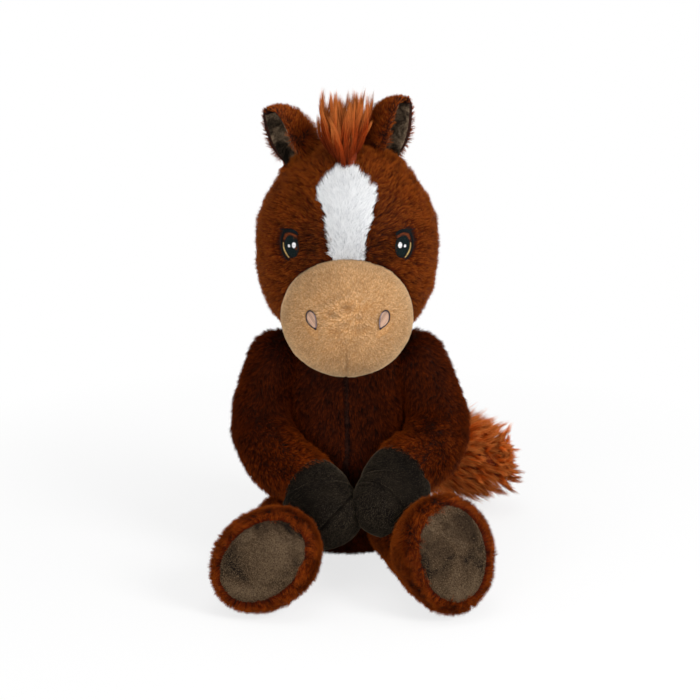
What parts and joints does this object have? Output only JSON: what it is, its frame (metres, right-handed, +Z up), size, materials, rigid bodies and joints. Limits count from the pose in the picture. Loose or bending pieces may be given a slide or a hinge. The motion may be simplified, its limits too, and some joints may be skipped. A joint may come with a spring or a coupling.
{
  "type": "plush horse",
  "caption": "Sitting plush horse with a jointed head, arms, legs, ears and tail, velvet hooves and soles, and a long-pile forelock, mane and tail.",
  "frame": {"origin": "on the surface it sits on, under the middle of the torso's round base", "axes": "+Z up, -Y the way the horse faces, +X its own left side"},
  "size_m": [0.2378, 0.2751, 0.3538],
  "materials": {
    "chestnut_plush": "long soft pile",
    "polyester_fibre": "loose fibre",
    "bag_cloth": "woven cloth filled with pellets",
    "white_plush": "long soft pile",
    "tan_pile": "short pile",
    "dark_thread": "satin stitch",
    "pink_thread": "satin stitch",
    "rust_hair": "long combed pile",
    "charcoal_velvet": "brushed velvet"
  },
  "bodies": {
    "torso": {"body_cover": "chestnut_plush", "body_stuffing": "polyester_fibre", "pellet_bag": "bag_cloth"},
    "neck": {"neck_cover": "chestnut_plush", "neck_stuffing": "polyester_fibre"},
    "head": {"head_cover": "chestnut_plush", "head_stuffing": "polyester_fibre", "blaze_panel": "white_plush", "muzzle_cover": "tan_pile", "muzzle_stuffing": "polyester_fibre", "left_eye_embroidery": "dark_thread", "right_eye_embroidery": "dark_thread", "left_nostril_embroidery": "pink_thread", "right_nostril_embroidery": "pink_thread", "forelock": "rust_hair", "mane": "rust_hair"},
    "left_ear": {"left_ear_cover": "chestnut_plush", "left_ear_lining": "charcoal_velvet"},
    "right_ear": {"right_ear_cover": "chestnut_plush", "right_ear_lining": "charcoal_velvet"},
    "left_arm": {"left_arm_cover": "chestnut_plush", "left_arm_stuffing": "polyester_fibre", "left_hoof_cover": "charcoal_velvet"},
    "right_arm": {"right_arm_cover": "chestnut_plush", "right_arm_stuffing": "polyester_fibre", "right_hoof_cover": "charcoal_velvet"},
    "left_leg": {"left_leg_cover": "chestnut_plush", "left_leg_stuffing": "polyester_fibre", "left_sole_pad": "charcoal_velvet"},
    "right_leg": {"right_leg_cover": "chestnut_plush", "right_leg_stuffing": "polyester_fibre", "right_sole_pad": "charcoal_velvet"},
    "tail_tuft": {"tail": "rust_hair"}
  },
  "joints": [
    {"name": "neck_turn", "type": "hinge", "parent": "torso", "child": "neck", "pos_m": [0, 0, 0.172], "axis": [0, 0, 1], "range_deg": [-20, 20]},
    {"name": "head_nod", "type": "hinge", "parent": "neck", "child": "head", "pos_m": [0, 0, 0.172], "axis": [1, 0, 0], "range_deg": [-14, 0]},
    {"name": "left_ear_flop", "type": "hinge", "parent": "head", "child": "left_ear", "pos_m": [0.0275, 0.002, 0.30035], "axis": [1, 0, 0], "range_deg": [-8, 8], "stiffness_Nm_per_rad": 0.03},
    {"name": "right_ear_flop", "type": "hinge", "parent": "head", "child": "right_ear", "pos_m": [-0.0345, 0.002, 0.29648], "axis": [1, 0, 0], "range_deg": [-8, 8], "stiffness_Nm_per_rad": 0.03},
    {"name": "left_shoulder", "type": "hinge", "parent": "torso", "child": "left_arm", "pos_m": [0.052, 0, 0.145], "axis": [-0.9362, -0.2621, -0.2341], "range_deg": [0, 20]},
    {"name": "right_shoulder", "type": "hinge", "parent": "torso", "child": "right_arm", "pos_m": [-0.052, 0, 0.145], "axis": [-0.9362, 0.2621, 0.2341], "range_deg": [0, 20]},
    {"name": "left_hip", "type": "hinge", "parent": "torso", "child": "left_leg", "pos_m": [0.044, -0.05, 0.028], "axis": [0, 0, 1], "range_deg": [0, 25]},
    {"name": "right_hip", "type": "hinge", "parent": "torso", "child": "right_leg", "pos_m": [-0.044, -0.05, 0.028], "axis": [0, 0, -1], "range_deg": [0, 25]},
    {"name": "tail_swing", "type": "hinge", "parent": "torso", "child": "tail_tuft", "pos_m": [0, 0.05909, 0.039], "axis": [0, 0, 1], "range_deg": [0, 25]}
  ]
}
